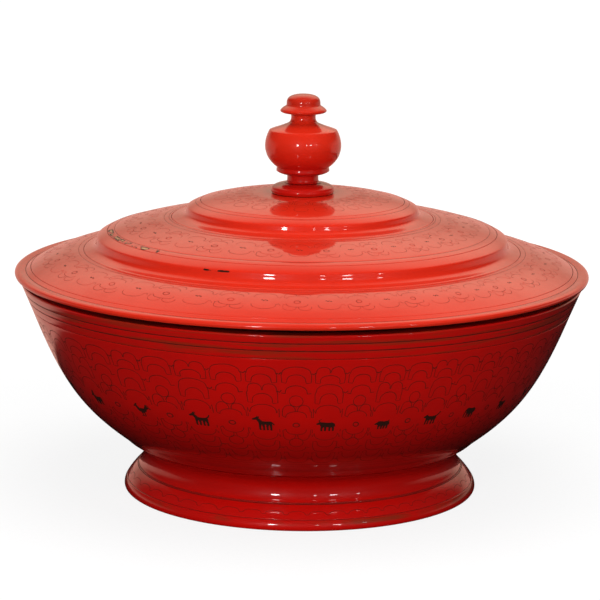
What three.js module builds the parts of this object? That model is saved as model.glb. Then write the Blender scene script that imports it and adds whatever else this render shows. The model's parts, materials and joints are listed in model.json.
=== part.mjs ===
// Lidded offering vessel: a wide lacquered bowl on a waisted foot, under a tiered lid with a turned finial.
// Units are millimetres, +Z is up, and the foot rests on z = 0. Every piece is turned about the Z axis.
import * as THREE from 'three';

// Turning
const ringSegments = 48;
const finialSegments = 30;

// Clearances
const bondGap = 0.3;
const seatGap = 0.3;
const lidFit = 1.2;
const tenonFit = 0.3;

// Heights of the bowl's pieces, stacked from the floor
const footHoopHeight = 7.8;
const footFlareHeight = 9.7;
const footCollarHeight = 20.8;
const bowlWallHeight = 100.4;
const rimBandHeight = 17.7;
const mouthRingStandout = 3.1;

// Outer face of the bowl: its radii, the heights of the foot's bead and neck, and the flare's slight swell
const footRestRadius = 128;
const footBeadRadius = 130.4;
const footBeadHeight = 2.2;
const footHoopTopRadius = 128.4;
const footFlareTopRadius = 120.2;
const footNeckRadius = 116;
const footNeckHeight = 11.4;
const footFlareSwell = 0.5;
const bowlRootRadius = 125.8;
const bowlShoulderRadius = 198.4;
const rimFlare = 7;

// Curve of the bowl wall: its slope above level at each end, and how far each end pulls the curve along it
const wallRootSlope = 35;
const wallRootPull = 45.2;
const wallShoulderSlope = 68.8;
const wallShoulderPull = 61;

// Section thicknesses of the bowl's pieces
const footWall = 9;
const footHoopWall = 11;
const footShelfWidth = 22;
const footShelfDepth = 6;
const bowlWall = 6;
const bowlFloorThickness = 5;
const bowlFloorEdge = 1.5;
const mouthRingWall = 5.6;
const mouthBackWall = 14;
const edgeRound = 1;

// Widths of the lid's zones, measured inwards from its rim
const lidOverhang = 4.6;
const lidRimWidth = 11.7;
const lowerTierWidth = 38.5;
const middleHoopWidth = 17.3;
const middleTierWidth = 46.7;
const topHoopWidth = 21.2;

// Rises of the lid's zones, stacked from its underside
const lidRimRise = 6.4;
const lowerTierRise = 12.1;
const middleHoopRise = 13.4;
const middleTierRise = 10.2;
const topHoopRise = 12.1;
const topTierRise = 5.6;

// Rounded lip of the lid's rim
const lipWidth = 3.5;
const lipRise = 5;
const lipMiddle = 2.5;
const lipGrooveWidth = 8.2;
const lipGrooveRise = 4.6;

// Swell of each tier's surface above a straight cone
const lowerTierCrown = 2.15;
const middleTierCrown = 1.1;
const topTierCrown = 1.5;

// Steps at the lid's hoops: how wide the cove is and how high the upright face stands
const middleCoveWidth = 8.5;
const middleCoveRise = 3.6;
const middleBeadWidth = 2.4;
const middleBeadRise = 10.3;
const topCoveWidth = 10.6;
const topCoveRise = 3.2;
const topBeadWidth = 2.2;
const topBeadRise = 8.5;

// Section thicknesses of the lid's pieces
const lidShell = 5.6;
const lapThickness = 3.2;
const lapWidth = 10.5;
const flangeWall = 5.2;
const flangeDrop = 9.5;

// Finial, in heights above its seat on the disc and in radii
const discRadius = 30.4;
const discTopRadius = 14;
const discEdgeHeight = 2.8;
const discHeight = 7.4;
const discCrown = 0.6;
const tenonRadius = 8;
const tenonLength = 14.5;
const stemFootRadius = 13.6;
const stemRadius = 11.4;
const stemHeight = 5.4;
const collarUnderRadius = 17.9;
const collarUnderHeight = 7.4;
const collarRadius = 19.4;
const collarHeight = 9.4;
const creaseRadius = 18.9;
const creaseHeight = 11.4;
const budRadius = 28.5;
const budMiddleHeight = 26.6;
const budShoulderRadius = 24.7;
const budShoulderHeight = 38.4;
const budTopRadius = 12.6;
const budTopHeight = 42.8;
const budNeckRadius = 8.9;
const budNeckHeight = 47.6;
const brimUnderHeight = 50.4;
const brimRadius = 17.2;
const brimHeight = 52.6;
const brimCrown = 0.5;
const capRadius = 12.3;
const capFootHeight = 56.2;
const capSideHeight = 58.6;
const finialHeight = 64.6;

// Lacquer
const redLacquer = { color: 0x9c1008, roughness: 0.28, metalness: 0 };
const darkLacquer = { color: 0x3a0503, roughness: 0.4, metalness: 0 };

const vessel = new THREE.Group();

const radians = THREE.MathUtils.degToRad;
const at = (r, z) => new THREE.Vector2(r, z);
const halfGap = bondGap / 2;

// A piece's section is a list of points (radius, height), up the outside and down the inside
const turn = (name, section, lacquer, segments = ringSegments) => {
  const onAxis = section[0].x === 0;
  const outline = onAxis ? section : [...section, section[0]];
  const geometry = new THREE.LatheGeometry(outline, segments);
  geometry.rotateX(Math.PI / 2);
  const mesh = new THREE.Mesh(geometry, new THREE.MeshStandardMaterial(lacquer));
  mesh.name = name;
  vessel.add(mesh);
  return mesh;
};

// A quarter curve between two points that leaves the first one along the line to the corner
const cove = (from, corner, to, steps) => new THREE.QuadraticBezierCurve(from, corner, to).getPoints(steps);

// A tier's surface: a straight cone from one point to the other, lifted in the middle by its crown
const crowned = (from, to, crown, steps) => {
  const points = [];
  for (let i = 0; i <= steps; i += 1) {
    const t = i / steps;
    const point = from.clone().lerp(to, t);
    point.y += 4 * crown * t * (1 - t);
    points.push(point);
  }
  return points;
};

// Foot

const footHoopTop = footHoopHeight;
const footFlareTop = footHoopTop + footFlareHeight;
const footTop = footFlareTop + footCollarHeight;

const footBead = at(footBeadRadius, footBeadHeight);
turn('foot_base_hoop', [
  ...cove(at(footRestRadius, 0), at(footBeadRadius, 0), footBead, 4),
  ...cove(footBead, at(footBeadRadius, (footBeadHeight + footHoopTop) / 2),
    at(footHoopTopRadius, footHoopTop - halfGap), 3).slice(1),
  at(footHoopTopRadius - footHoopWall, footHoopTop - halfGap),
  at(footRestRadius - footHoopWall, 0),
], redLacquer);

const flareFoot = at(footHoopTopRadius - halfGap, footHoopTop + halfGap);
const flareHead = at(footFlareTopRadius, footFlareTop - halfGap);
const flareMiddle = flareFoot.clone().lerp(flareHead, 1 / 2).addScalar(footFlareSwell);
turn('foot_flare', [
  ...cove(flareFoot, flareMiddle, flareHead, 3),
  at(footFlareTopRadius - footWall, footFlareTop - halfGap),
  at(footHoopTopRadius - footHoopWall, footHoopTop + halfGap),
], redLacquer);

const neckHeight = footFlareTop + footNeckHeight;
const neck = at(footNeckRadius, neckHeight);
const shelfInner = bowlRootRadius - footShelfWidth;
const footInner = footNeckRadius - footWall;
const collarFoot = at(footFlareTopRadius - halfGap, footFlareTop + halfGap);
const collarHead = at(bowlRootRadius, footTop - halfGap);
turn('foot_collar', [
  ...cove(collarFoot, at(footNeckRadius, footFlareTop + footNeckHeight / 3), neck, 4),
  ...cove(neck, at(footNeckRadius, (neckHeight + footTop) / 2), collarHead, 3).slice(1),
  at(shelfInner, footTop - halfGap),
  at(shelfInner, footTop - footShelfDepth),
  at(footInner, footTop - footShelfDepth - footShelfDepth),
  at(footFlareTopRadius - footWall, footFlareTop + halfGap),
], redLacquer);

// Bowl

const wallRoot = at(bowlRootRadius, footTop + halfGap);
const shoulder = at(bowlShoulderRadius, footTop + bowlWallHeight - halfGap);
const pulled = (point, slope, pull) =>
  at(point.x + pull * Math.cos(radians(slope)), point.y + pull * Math.sin(radians(slope)));
const wallCurve = new THREE.CubicBezierCurve(
  wallRoot,
  pulled(wallRoot, wallRootSlope, wallRootPull),
  pulled(shoulder, wallShoulderSlope, -wallShoulderPull),
  shoulder,
);
const wallSteps = 12;
const wallOuter = wallCurve.getPoints(wallSteps);
const wallInner = wallOuter.map((point, i) => {
  const tangent = wallCurve.getTangent(i / wallSteps);
  return at(point.x - bowlWall * tangent.y, point.y + bowlWall * tangent.x);
});

// The wall's foot is cut upright inside for the floor disc, and its head is thick enough for the mouth ring
const floorRadius = bowlRootRadius - bowlWall;
const floorTop = wallRoot.y + bowlFloorThickness;
const mouthOuter = bowlShoulderRadius - bowlWall;
const mouthInner = mouthOuter - mouthRingWall;
const mouthRingFoot = shoulder.y + bondGap;
const backFoot = shoulder.y - mouthBackWall;
const wallInnerRun = wallInner.filter((point) => point.x > floorRadius + bondGap && point.y < backFoot);
const lastInner = wallInnerRun[wallInnerRun.length - 1];
const firstInner = wallInnerRun[0];
const floorSeatTop = Math.min(floorTop, firstInner.y - edgeRound);
turn('bowl_wall', [
  ...wallOuter,
  at(mouthInner, shoulder.y),
  at(mouthInner, Math.max(lastInner.y + edgeRound, shoulder.y - lapThickness)),
  ...wallInnerRun.slice().reverse(),
  at(floorRadius, floorSeatTop),
  at(floorRadius, wallRoot.y),
], redLacquer);

turn('bowl_floor', [
  at(0, wallRoot.y),
  at(floorRadius - bondGap, wallRoot.y),
  at(floorRadius - bondGap, floorTop - bowlFloorEdge),
  at(floorRadius - bondGap - bowlFloorEdge, floorTop),
  at(0, floorTop),
], darkLacquer);

const bowlMouthRadius = bowlShoulderRadius + rimFlare;
const mouthTop = shoulder.y + halfGap + rimBandHeight;
const bandFoot = at(bowlShoulderRadius + halfGap, mouthRingFoot);
turn('bowl_rim_band', [
  bandFoot,
  at(bowlMouthRadius, mouthTop - edgeRound),
  at(bowlMouthRadius - edgeRound / 2, mouthTop),
  at(mouthOuter + edgeRound, mouthTop),
  at(mouthOuter, mouthTop - edgeRound),
  at(mouthOuter, mouthRingFoot),
], redLacquer);

const seatHeight = mouthTop + mouthRingStandout;
turn('mouth_seat_ring', [
  at(mouthOuter - bondGap, mouthRingFoot),
  at(mouthOuter - bondGap, seatHeight - edgeRound / 2),
  at(mouthOuter - bondGap - edgeRound / 2, seatHeight),
  at(mouthInner + edgeRound / 2, seatHeight),
  at(mouthInner, seatHeight - edgeRound / 2),
  at(mouthInner, mouthRingFoot),
], darkLacquer);

// Lid

const lidUnderside = seatHeight + seatGap;
const lidRadius = bowlMouthRadius + lidOverhang;
const rimSeam = at(lidRadius - lidRimWidth, lidUnderside + lidRimRise);
const hoopSeam = at(rimSeam.x - lowerTierWidth, rimSeam.y + lowerTierRise);
const middleSeam = at(hoopSeam.x - middleHoopWidth, hoopSeam.y + middleHoopRise);
const topHoopSeam = at(middleSeam.x - middleTierWidth, middleSeam.y + middleTierRise);
const topSeam = at(topHoopSeam.x - topHoopWidth, topHoopSeam.y + topHoopRise);
const finialSeat = at(discRadius, topSeam.y + topTierRise);
const outsideOf = (seam) => at(seam.x + halfGap, seam.y);
const insideOf = (seam) => at(seam.x - halfGap, seam.y);

// Each seam is a lap: the outer piece carries a ledge, and the inner one rests on it
const ledgeTop = (seam) => seam.y - lapThickness - halfGap;
const ledgeInner = (seam) => seam.x - lapWidth;
const lapSeat = (seam) => ledgeTop(seam) + bondGap;
const lapClear = (seam) => ledgeInner(seam) - bondGap;

const rimLedge = at(mouthInner, ledgeTop(rimSeam));
const lipFoot = at(lidRadius - lipWidth, lidUnderside);
const lipEdge = at(lidRadius, lidUnderside + lipMiddle);
const lipHead = at(lidRadius - lipWidth, lidUnderside + lipRise);
turn('lid_rim_hoop', [
  ...cove(lipFoot, at(lidRadius, lipFoot.y), lipEdge, 3),
  ...cove(lipEdge, at(lidRadius, lipHead.y), lipHead, 3).slice(1),
  at(lidRadius - lipGrooveWidth, lidUnderside + lipGrooveRise),
  outsideOf(rimSeam),
  at(rimSeam.x + halfGap, rimLedge.y),
  rimLedge,
  at(mouthInner, lidUnderside),
], redLacquer);

const flangeOuter = mouthInner - lidFit;
const flangeInner = flangeOuter - flangeWall;
turn('lid_flange_ring', [
  at(flangeOuter - edgeRound, lidUnderside - flangeDrop),
  at(flangeOuter, lidUnderside - flangeDrop + edgeRound),
  at(flangeOuter, rimLedge.y),
  at(flangeInner, rimLedge.y),
  at(flangeInner, lidUnderside - flangeDrop + edgeRound),
  at(flangeInner + edgeRound, lidUnderside - flangeDrop),
], redLacquer);

// The underside of a tier follows its surface, one shell thickness below it
const shellBelow = (from, to, r) => {
  const slope = (to.y - from.y) / (from.x - to.x);
  return from.y + (from.x - r) * slope - lidShell * Math.hypot(1, slope);
};

const flangeClear = flangeInner - bondGap;
turn('lid_lower_tier', [
  ...crowned(insideOf(rimSeam), outsideOf(hoopSeam), lowerTierCrown, 5),
  at(hoopSeam.x + halfGap, ledgeTop(hoopSeam)),
  at(ledgeInner(hoopSeam), ledgeTop(hoopSeam)),
  at(ledgeInner(hoopSeam), ledgeTop(hoopSeam) - lapThickness),
  at(hoopSeam.x, ledgeTop(hoopSeam) - lapThickness),
  at(flangeClear, Math.max(shellBelow(rimSeam, hoopSeam, flangeClear), lapSeat(rimSeam) + edgeRound)),
  at(flangeClear, lapSeat(rimSeam)),
  at(rimSeam.x - halfGap, lapSeat(rimSeam)),
], redLacquer);

// A hoop between tiers: a cove, an upright face with a rounded edge, and a ledge for the tier inside it
const stepHoop = (name, outer, inner, coveWidth, coveRise, beadWidth, beadRise) => {
  const start = insideOf(outer);
  const faceFoot = at(outer.x - coveWidth, outer.y + coveRise);
  const faceHead = at(faceFoot.x - edgeRound, outer.y + beadRise - edgeRound);
  const beadTop = at(faceFoot.x - beadWidth, outer.y + beadRise);
  turn(name, [
    at(outer.x - halfGap, lapSeat(outer)),
    ...cove(start, at(faceFoot.x + edgeRound, outer.y + coveRise / 3), faceFoot, 3),
    faceHead,
    beadTop,
    outsideOf(inner),
    at(inner.x + halfGap, ledgeTop(inner)),
    at(ledgeInner(inner), ledgeTop(inner)),
    at(ledgeInner(inner), ledgeTop(inner) - lapThickness),
    at(inner.x, ledgeTop(inner) - lapThickness),
    at(lapClear(outer), lapSeat(outer)),
  ], redLacquer);
};

// A tier whose outer edge rests on the hoop below it and whose inner edge carries the hoop above it
turn('lid_middle_tier', [
  at(middleSeam.x - halfGap, lapSeat(middleSeam)),
  ...crowned(insideOf(middleSeam), outsideOf(topHoopSeam), middleTierCrown, 5),
  at(topHoopSeam.x + halfGap, ledgeTop(topHoopSeam)),
  at(ledgeInner(topHoopSeam), ledgeTop(topHoopSeam)),
  at(ledgeInner(topHoopSeam), ledgeTop(topHoopSeam) - lapThickness),
  at(topHoopSeam.x, ledgeTop(topHoopSeam) - lapThickness),
  at(lapClear(middleSeam), lapSeat(middleSeam)),
], redLacquer);

stepHoop('lid_middle_hoop', hoopSeam, middleSeam,
  middleCoveWidth, middleCoveRise, middleBeadWidth, middleBeadRise);
stepHoop('lid_top_hoop', topHoopSeam, topSeam,
  topCoveWidth, topCoveRise, topBeadWidth, topBeadRise);

const tenonHole = tenonRadius + tenonFit;
turn('lid_top_tier', [
  at(topSeam.x - halfGap, lapSeat(topSeam)),
  ...crowned(insideOf(topSeam), finialSeat, topTierCrown, 5),
  at(tenonHole, finialSeat.y),
  at(tenonHole, finialSeat.y - lidShell),
  at(discRadius, finialSeat.y - lidShell - edgeRound),
  at(lapClear(topSeam), lapSeat(topSeam)),
], redLacquer);

// Finial

const discFoot = finialSeat.y + bondGap;
const discTop = discFoot + discHeight;
const discEdge = at(discRadius - edgeRound / 2, discFoot + discEdgeHeight);
turn('finial_base_disc', [
  at(discRadius - edgeRound / 2, discFoot),
  at(discRadius, discFoot + edgeRound / 2),
  at(discRadius, discFoot + discEdgeHeight - edgeRound),
  ...crowned(discEdge, at(discTopRadius, discTop), discCrown, 3),
  at(tenonHole, discTop),
  at(tenonHole, discFoot),
], redLacquer, finialSegments);

const finialFoot = discTop + bondGap;
const up = (r, height) => at(r, finialFoot + height);
const budBelly = up(budRadius, budMiddleHeight);
const budShoulder = up(budShoulderRadius, budShoulderHeight);
const upperSwell = up((budRadius + budShoulderRadius) / 2 + edgeRound,
  (budMiddleHeight + budShoulderHeight) / 2);
turn('finial', [
  up(0, -tenonLength),
  up(tenonRadius, -tenonLength),
  up(tenonRadius, 0),
  ...cove(up(stemFootRadius, 0), up(stemRadius, 0), up(stemRadius, stemHeight / 2), 3),
  up(stemRadius, stemHeight),
  up(collarUnderRadius, collarUnderHeight),
  ...cove(up(collarRadius, (collarUnderHeight + collarHeight) / 2), up(collarRadius, collarHeight),
    up(creaseRadius, creaseHeight), 2),
  ...cove(up(creaseRadius + edgeRound, creaseHeight + edgeRound / 2),
    up(budRadius, (creaseHeight + budMiddleHeight) / 2), budBelly, 5),
  ...cove(budBelly, upperSwell, budShoulder, 3).slice(1),
  ...cove(up(budTopRadius, budTopHeight), up(budNeckRadius, budTopHeight + edgeRound),
    up(budNeckRadius, budNeckHeight), 3),
  ...cove(up(budNeckRadius, brimUnderHeight - edgeRound), up(budNeckRadius, brimUnderHeight),
    up(brimRadius - 2 * edgeRound, brimUnderHeight + edgeRound / 2), 2),
  up(brimRadius - edgeRound / 2, brimHeight - edgeRound),
  ...crowned(up(brimRadius, brimHeight), up(capRadius, capFootHeight), brimCrown, 3),
  ...cove(up(capRadius, capSideHeight), up(capRadius, finialHeight), up(0, finialHeight), 5),
], redLacquer, finialSegments);

export default vessel;
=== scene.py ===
# Looks of the lidded offering vessel: turned lacquer pieces, incised bands, and the studio round them.
import json
import math

import bpy
from bpy.props import FloatProperty, FloatVectorProperty, IntProperty, PointerProperty
from mathutils import Matrix, Vector

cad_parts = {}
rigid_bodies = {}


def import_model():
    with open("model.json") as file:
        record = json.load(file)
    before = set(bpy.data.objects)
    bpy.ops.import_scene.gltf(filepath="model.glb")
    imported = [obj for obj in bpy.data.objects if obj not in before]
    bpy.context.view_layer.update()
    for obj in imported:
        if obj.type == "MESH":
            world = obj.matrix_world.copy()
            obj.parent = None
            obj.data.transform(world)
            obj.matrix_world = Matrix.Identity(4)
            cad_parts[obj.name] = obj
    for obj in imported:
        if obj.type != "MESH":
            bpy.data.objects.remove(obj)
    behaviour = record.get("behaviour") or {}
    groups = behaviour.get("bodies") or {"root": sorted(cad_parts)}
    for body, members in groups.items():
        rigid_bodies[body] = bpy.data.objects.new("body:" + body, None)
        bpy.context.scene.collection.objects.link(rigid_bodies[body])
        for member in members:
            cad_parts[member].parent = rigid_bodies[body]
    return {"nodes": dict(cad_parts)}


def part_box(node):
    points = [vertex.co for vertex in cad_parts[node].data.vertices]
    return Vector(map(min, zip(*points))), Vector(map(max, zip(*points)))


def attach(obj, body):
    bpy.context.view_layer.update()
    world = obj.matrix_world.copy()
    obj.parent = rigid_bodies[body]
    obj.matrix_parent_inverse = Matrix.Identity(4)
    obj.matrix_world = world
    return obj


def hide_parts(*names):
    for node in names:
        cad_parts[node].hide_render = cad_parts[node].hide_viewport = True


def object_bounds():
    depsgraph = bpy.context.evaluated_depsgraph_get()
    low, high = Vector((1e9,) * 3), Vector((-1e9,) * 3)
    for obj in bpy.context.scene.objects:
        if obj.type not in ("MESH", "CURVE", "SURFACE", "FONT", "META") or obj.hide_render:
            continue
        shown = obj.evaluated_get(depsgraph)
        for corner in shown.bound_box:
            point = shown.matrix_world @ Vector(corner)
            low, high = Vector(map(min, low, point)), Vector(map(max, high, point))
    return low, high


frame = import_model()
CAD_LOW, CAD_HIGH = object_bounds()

bl_info = {
    "name": "Lidded Offering Vessel",
    "version": (1, 0, 0),
    "blender": (4, 5, 0),
    "location": "View3D > Sidebar > Vessel",
    "description": "Dresses the vessel's frame in red lacquer with incised bands",
    "category": "Object",
}

MM = 0.001
TURN = 2 * math.pi

# Heights and radii on the vessel, from the frame
FOOT_HOOP_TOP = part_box("foot_base_hoop")[1].z
STRONG_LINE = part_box("foot_collar")[0].z
FOOT_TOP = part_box("foot_collar")[1].z
RIM_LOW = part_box("bowl_rim_band")[0].z
LID_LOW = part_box("lid_rim_hoop")[0].z
LID_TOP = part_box("lid_top_tier")[1].z
MIDDLE_HOOP_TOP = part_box("lid_middle_hoop")[1].z
MIDDLE_TIER_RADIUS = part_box("lid_middle_tier")[1].x


class Flow:
    """A shader socket that Python's arithmetic works on: each operator adds its Math node."""

    def __init__(self, socket):
        self.socket = socket
        self.tree = socket.id_data

    @staticmethod
    def feed(target, value):
        if isinstance(value, Flow):
            value.tree.links.new(value.socket, target)
        elif value is not None:
            target.default_value = value

    def math(self, operation, *values, clamp=False):
        node = self.tree.nodes.new("ShaderNodeMath")
        node.operation = operation
        node.use_clamp = clamp
        for target, value in zip(node.inputs, values):
            Flow.feed(target, value)
        return Flow(node.outputs[0])

    def __add__(self, other):
        return self.math("ADD", self, other)

    def __radd__(self, other):
        return self.math("ADD", other, self)

    def __sub__(self, other):
        return self.math("SUBTRACT", self, other)

    def __rsub__(self, other):
        return self.math("SUBTRACT", other, self)

    def __mul__(self, other):
        return self.math("MULTIPLY", self, other)

    def __rmul__(self, other):
        return self.math("MULTIPLY", other, self)

    def __truediv__(self, other):
        return self.math("DIVIDE", self, other)

    def __rtruediv__(self, other):
        return self.math("DIVIDE", other, self)

    def __pow__(self, other):
        return self.math("POWER", self, other)

    def __rpow__(self, other):
        return self.math("POWER", other, self)

    def between(self, low, high):
        """0 at low, 1 at high, straight between them."""
        return self.math("DIVIDE", self - low, high - low, clamp=True)

    def smooth(self, low, high):
        """0 at low, 1 at high, eased at both ends."""
        inputs = {"Value": self, "From Min": low, "From Max": high}
        return add_node(self.tree, "ShaderNodeMapRange", {"interpolation_type": "SMOOTHSTEP"}, inputs)

    def band(self, rise, full, fall, gone):
        """Eased up from 0 to 1 between the first two values, and back down between the last two."""
        return self.smooth(rise, full) * (1.0 - self.smooth(fall, gone))


def add_node(tree, kind, settings=None, inputs=None, output=0):
    """Adds a node to a tree: its settings first, then the values or links of its sockets."""
    node = tree.nodes.new(kind)
    for name, value in (settings or {}).items():
        setattr(node, name, value)
    for name, value in (inputs or {}).items():
        Flow.feed(node.inputs[name], value)
    return Flow(node.outputs[output])


def mix_colour(factor, first, second):
    """A colour Mix node, from the first colour at factor 0 to the second at factor 1."""
    first, second = (value if isinstance(value, Flow) else (*value, 1) for value in (first, second))
    inputs = {0: factor, 6: first, 7: second}
    return add_node(factor.tree, "ShaderNodeMix", {"data_type": "RGBA"}, inputs, output=2)


def grey(level):
    return (level, level, level)


def dimmed(colour, share):
    return tuple(channel * share for channel in colour)


class Finish:
    """A material under construction: its tree, its object coordinates and its main shader."""

    def __init__(self, name, roughness, coat=0.0, coat_roughness=0.03, specular=0.15):
        self.material = bpy.data.materials.new(name)
        self.material.use_nodes = True
        self.tree = self.material.node_tree
        self.shader = self.tree.nodes["Principled BSDF"]
        self.shader.inputs["Roughness"].default_value = roughness
        self.shader.inputs["Coat Weight"].default_value = coat
        self.shader.inputs["Coat Roughness"].default_value = coat_roughness
        self.shader.inputs["Specular IOR Level"].default_value = specular
        self.place = add_node(self.tree, "ShaderNodeTexCoord", None, None, output=3)
        split = add_node(self.tree, "ShaderNodeSeparateXYZ", None, {0: self.place})
        self.x, self.y, self.height = (Flow(s) for s in split.socket.node.outputs)
        self.radius = (self.x * self.x + self.y * self.y) ** 0.5

    def noise(self, scale, detail=3, roughness=0.5, place=None):
        inputs = {"Vector": place or self.place, "Scale": scale, "Detail": detail, "Roughness": roughness}
        return add_node(self.tree, "ShaderNodeTexNoise", None, inputs)

    def stretched(self, x, y, z):
        """Object coordinates scaled along each axis."""
        scales = {0: self.place, 1: (x, y, z)}
        return add_node(self.tree, "ShaderNodeVectorMath", {"operation": "MULTIPLY"}, scales)

    def patch(self, across, low, high, left, right, fullness):
        """1 in ragged spots: between two values across, and between two angles in degrees from the front."""
        angle = self.x.math("ARCTAN2", self.x, 0.0 - self.y)
        left, right, fade = math.radians(left), math.radians(right), 0.03
        ends = angle.band(left, left + fade, right - fade, right)
        sides = across.band(low, low + MM, high - MM, high)
        ragged = self.noise(110, detail=4, roughness=0.7)
        return (ends * sides * fullness + ragged).smooth(0.98, 1.04)

    def set(self, **sockets):
        for name, value in sockets.items():
            Flow.feed(self.shader.inputs[name.replace("_", " ").title()], value)

    def bump(self, heights, distance, strength=1.0):
        inputs = {"Height": heights, "Distance": distance, "Strength": strength}
        Flow.feed(self.shader.inputs["Normal"], add_node(self.tree, "ShaderNodeBump", None, inputs))


def colour_setting(name, description, default):
    return FloatVectorProperty(name=name, description=description, subtype="COLOR", default=default,
                               min=0, max=1)


def length_setting(name, description, default):
    return FloatProperty(name=name, description=description, unit="LENGTH", default=default)


def angle_setting(name, description, degrees):
    return FloatProperty(name=name, description=description, subtype="ANGLE", unit="ROTATION",
                         default=math.radians(degrees))


class VesselColours(bpy.types.PropertyGroup):
    """Colours of the lacquer and of the pigment rubbed into its lines."""
    red: colour_setting("Red", "Lacquer where it is thick and clean", (0.52, 0.003, 0.0015))
    # Also painted shade: the finial's stem, disc and bulb underside are turned to this deeper red.
    deep_red: colour_setting("Deep Red", "Lacquer where it is darker with age", (0.42, 0.003, 0.002))
    # Partly painted light: the lid's lacquer is lighter and more orange than the bowl's, standing for the
    # light that falls on it from above, and partly faded.
    lid_red_lit_and_faded: colour_setting("Faded Red", "Lacquer of the lid, faded by the light", (0.60, 0.019, 0.006))
    rubbed: colour_setting("Rubbed", "Brown where the lacquer is rubbed thin", (0.17, 0.022, 0.006))
    bare: colour_setting("Bare Ground", "Ground that shows in the chips", (0.46, 0.23, 0.11))
    # Also painted shade: the same near black is put under the lid's lip, where the gap lies in shade.
    inside: colour_setting("Inside", "Lacquer inside and under the lid", (0.012, 0.002, 0.001))
    pigment: colour_setting("Pigment", "Dark pigment in the incised lines", (0.030, 0.008, 0.005))


class VesselTurning(bpy.types.PropertyGroup):
    """How finely the pieces are turned."""
    around: IntProperty(name="Steps Around", description="Facets round a ring", default=192, min=24)
    edge: length_setting("Edge", "Rounding of a turned edge", 0.35 * MM)
    step: length_setting("Step", "Longest step along a curved section", 2.5 * MM)


class VesselIncising(bpy.types.PropertyGroup):
    """The incised bands: how many columns, how wide a line and how unsteady the hand."""
    columns: IntProperty(name="Columns", description="Motifs round the bowl, two to each figure", default=52)
    front: angle_setting("Front", "Turn of the motif nearest the front", -0.9)
    drift: angle_setting("Drift", "How unevenly the columns are spaced", 4.8)
    line: length_setting("Line", "Width of a drawn line", 0.5 * MM)
    lift: length_setting("Lift", "How far the pigment stands off the lacquer", 0.03 * MM)
    wobble: length_setting("Wobble", "How far the hand strays", 0.5 * MM)
    wobble_size: length_setting("Wobble Size", "Length over which the hand strays", 9 * MM)


class VesselStudio(bpy.types.PropertyGroup):
    """The camera of the photograph."""
    distance: length_setting("Distance", "From the lens to the point it looks at", 1.990)
    aim: length_setting("Aim", "Height of the point it looks at", 0.1395)
    aside: length_setting("Aside", "Of the point it looks at, to the right of the axis", -1.1 * MM)
    elevation: angle_setting("Elevation", "Of the camera above level", 11.3)
    roll: angle_setting("Roll", "Lean of the camera", 0.6)
    lens: FloatProperty(name="Lens", description="Focal length in millimetres", default=162)


# Sections read from the frame

# A turn sharper than this is a corner, and a bend smaller than this is straight
CORNER = math.radians(38)
STRAIGHT = 1e-3
# Points nearer than this are one, and a radius below this lies on the axis
FINE = 0.02 * MM
ON_AXIS = 1e-6
# The most of a side that a rounded corner takes up
CORNER_SHARE = 0.45
# The shown runs of the turned pieces, by node
RUNS = {}


def section(node):
    """The node's section at the front, as (radius, height) points up the outside, and whether it closes."""
    mesh = frame["nodes"][node].data
    links = {}
    for edge in mesh.edges:
        ends = [mesh.vertices[i].co for i in edge.vertices]
        if all(abs(co.x) < ON_AXIS and co.y < ON_AXIS for co in ends):
            first, second = ((round(-co.y, 6), round(co.z, 6)) for co in ends)
            if first != second:
                links.setdefault(first, set()).add(second)
                links.setdefault(second, set()).add(first)
    loose_ends = sorted((point for point in links if len(links[point]) == 1), key=lambda p: p[1])
    start = loose_ends[0] if loose_ends else min(links, key=lambda p: (p[1], -p[0]))
    path = [start]
    here = max(links[start], key=lambda p: (p[0] + p[1]))
    while here != start:
        path.append(here)
        onward = links[here] - {path[-2]}
        if not onward:
            break
        here = onward.pop()
    points = [Vector(p) for p in path]
    if not loose_ends:
        area = sum(a.x * b.y - b.x * a.y for a, b in zip(points, points[1:] + points[:1]))
        if area < 0:
            points = [points[0]] + points[:0:-1]
    return points, not loose_ends


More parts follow.
